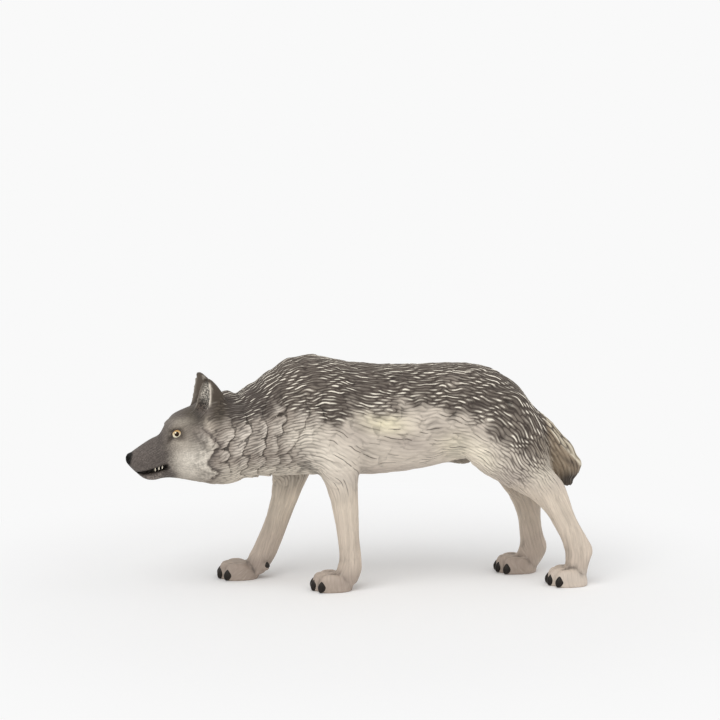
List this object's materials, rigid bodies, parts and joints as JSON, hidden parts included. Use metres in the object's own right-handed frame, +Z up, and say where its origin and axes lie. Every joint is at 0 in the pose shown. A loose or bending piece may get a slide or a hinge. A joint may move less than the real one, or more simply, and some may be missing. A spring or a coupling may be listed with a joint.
{
  "type": "wolf figurine",
  "caption": "Moulded figurine of a grey wolf prowling with its head held low, standing on its paws.",
  "frame": {"origin": "middle of the bounding box's footprint, on the surface the soles stand on", "axes": "+X from the head towards the tail, -Y towards the animal's left side, +Z up"},
  "size_m": [0.1144, 0.0258, 0.0572],
  "materials": {
    "painted_vinyl": "matt, hand-painted coat in greys and cream"
  },
  "bodies": {
    "root": {"wolf": "painted_vinyl"}
  },
  "joints": []
}
